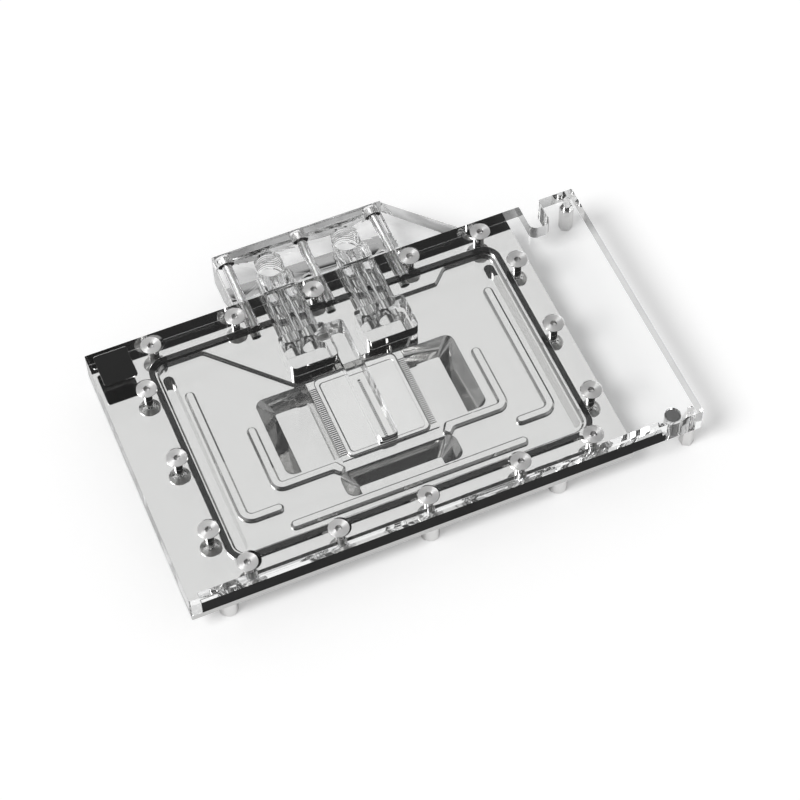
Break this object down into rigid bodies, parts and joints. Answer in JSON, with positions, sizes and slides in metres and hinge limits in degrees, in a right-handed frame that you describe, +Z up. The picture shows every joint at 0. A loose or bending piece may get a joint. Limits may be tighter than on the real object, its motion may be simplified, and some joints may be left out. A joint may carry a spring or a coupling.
{
  "type": "gpu water block",
  "caption": "Full-cover graphics card water block: nickel plated cold plate under a clear cover, with a clear port terminal, edge light strip and mounting posts.",
  "frame": {"origin": "centre of the footprint, on the surface that the posts stand on", "axes": "+X along the block's length, towards the clear overhang; +Y towards the port terminal; +Z up, from the card's side to the cover"},
  "size_m": [0.225, 0.1552, 0.025],
  "materials": {
    "nickel": "polished nickel plate on copper",
    "clear_acrylic": "clear, polished",
    "seal_rubber": "matte black",
    "screw_steel": "nickel plated steel, turned",
    "post_nickel": "nickel plated, turned",
    "board_black": "black solder mask",
    "lamp_white": "white lamp case",
    "plug_black": "matte black",
    "badge_black": "bare, gloss black"
  },
  "bodies": {
    "root": {"cold_plate": "nickel", "clear_cover": "clear_acrylic", "cover_seal": "seal_rubber", "jet_plate": "nickel", "terminal_block": "clear_acrylic", "inlet_seal": "seal_rubber", "outlet_seal": "seal_rubber", "terminal_screws": "screw_steel", "cover_screws": "screw_steel", "led_board": "board_black", "led_chips": "lamp_white", "led_resistors": "board_black", "led_lead": "plug_black", "badge": "badge_black", "overhang_post_front": "post_nickel", "overhang_post_back": "post_nickel", "base_post_front_left": "post_nickel", "base_post_front_middle": "post_nickel", "base_post_front_right": "post_nickel", "base_post_back_left": "post_nickel", "base_post_back_middle": "post_nickel", "base_post_back_right": "post_nickel"}
  },
  "joints": []
}
